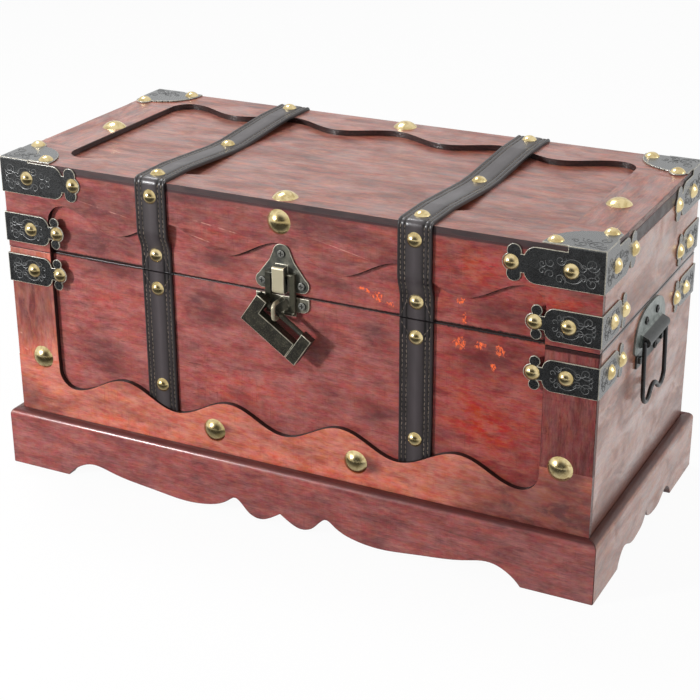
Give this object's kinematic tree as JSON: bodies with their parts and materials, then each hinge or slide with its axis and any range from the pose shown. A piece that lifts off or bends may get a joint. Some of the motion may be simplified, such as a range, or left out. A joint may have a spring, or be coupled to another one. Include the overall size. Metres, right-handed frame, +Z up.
{
  "type": "sea chest",
  "caption": "Small wooden sea chest with a hinged lid, wavy overlay frames, leather straps, metal corners, a hasp with a hanging padlock and a bail handle at each end.",
  "frame": {"origin": "middle of the chest's footprint, on the floor under its feet", "axes": "+X to the right along the length, the front faces -Y, +Z up"},
  "size_m": [0.3944, 0.1945, 0.2083],
  "materials": {
    "panel_wood": "red mahogany stain, satin lacquer, smoky patches",
    "overlay_wood": "red mahogany stain, satin lacquer, dark edges",
    "plinth_wood": "dark red stain, satin lacquer",
    "leather": "dark brown stitched imitation leather",
    "gunmetal": "dark grey embossed sheet with rubbed edges",
    "brass_nails": "aged brass plate",
    "screws": "dark bronze plate",
    "bronze": "antique bronze plate with rubbed edges",
    "hinge_bronze": "antique bronze plate",
    "grey_plate": "dark grey plated sheet",
    "black_wire": "black enamel"
  },
  "bodies": {
    "box": {"box_bottom": "panel_wood", "box_front": "panel_wood", "box_back": "panel_wood", "box_end_left": "panel_wood", "box_end_right": "panel_wood", "box_rail": "overlay_wood", "box_stile_left": "overlay_wood", "box_stile_right": "overlay_wood", "plinth_front": "plinth_wood", "plinth_back": "plinth_wood", "plinth_left": "plinth_wood", "plinth_right": "plinth_wood", "box_angle_fr": "gunmetal", "box_angle_fl": "gunmetal", "box_angle_br": "gunmetal", "box_angle_bl": "gunmetal", "box_strap_left": "leather", "box_strap_right": "leather", "staple": "bronze", "handle_plate_left": "grey_plate", "handle_plate_right": "grey_plate", "box_studs": "brass_nails", "box_tacks": "brass_nails", "box_screws": "screws", "hinge_box_left": "hinge_bronze", "hinge_box_right": "hinge_bronze", "hinge_pins": "hinge_bronze"},
    "lid": {"lid_top": "panel_wood", "lid_front": "panel_wood", "lid_back": "panel_wood", "lid_end_left": "panel_wood", "lid_end_right": "panel_wood", "lid_front_frame": "overlay_wood", "top_rail_front": "overlay_wood", "top_rail_back": "overlay_wood", "top_rail_left": "overlay_wood", "top_rail_right": "overlay_wood", "cap_fr": "gunmetal", "cap_fl": "gunmetal", "cap_br": "gunmetal", "cap_bl": "gunmetal", "lid_angle_fr": "gunmetal", "lid_angle_fl": "gunmetal", "lid_angle_br": "gunmetal", "lid_angle_bl": "gunmetal", "lid_strap_left": "leather", "lid_strap_right": "leather", "hasp_plate": "bronze", "lid_studs": "brass_nails", "lid_tacks": "brass_nails", "lid_screws": "screws", "hinge_lid_left": "hinge_bronze", "hinge_lid_right": "hinge_bronze"},
    "hasp_link": {"hasp_link": "bronze"},
    "padlock": {"padlock_body": "bronze"},
    "shackle": {"padlock_shackle": "bronze"},
    "bail_right": {"bail_right": "black_wire"},
    "bail_left": {"bail_left": "black_wire"}
  },
  "joints": [
    {"name": "lid_hinge", "type": "hinge", "parent": "box", "child": "lid", "pos_m": [0, 0.0907, 0.147], "axis": [-1, 0, 0], "range_deg": [0, 99]},
    {"name": "bail_right_swing", "type": "hinge", "parent": "box", "child": "bail_right", "pos_m": [0.1942, 0, 0.128], "axis": [0, -1, 0], "range_deg": [0, 165]},
    {"name": "bail_left_swing", "type": "hinge", "parent": "box", "child": "bail_left", "pos_m": [-0.1942, 0, 0.128], "axis": [0, 1, 0], "range_deg": [0, 165]},
    {"name": "hasp_link_swing", "type": "hinge", "parent": "lid", "child": "hasp_link", "pos_m": [0, -0.087, 0.16008], "axis": [-1, 0, 0], "range_deg": [0, 5]},
    {"name": "padlock_swing", "type": "hinge", "parent": "box", "child": "padlock", "pos_m": [0, -0.09313, 0.1398], "axis": [0, -1, 0], "range_deg": [-8, 30]},
    {"name": "shackle_slide", "type": "slide", "parent": "padlock", "child": "shackle", "axis": [0.8271, 0, -0.5621], "range_m": [0, 0.024]}
  ]
}
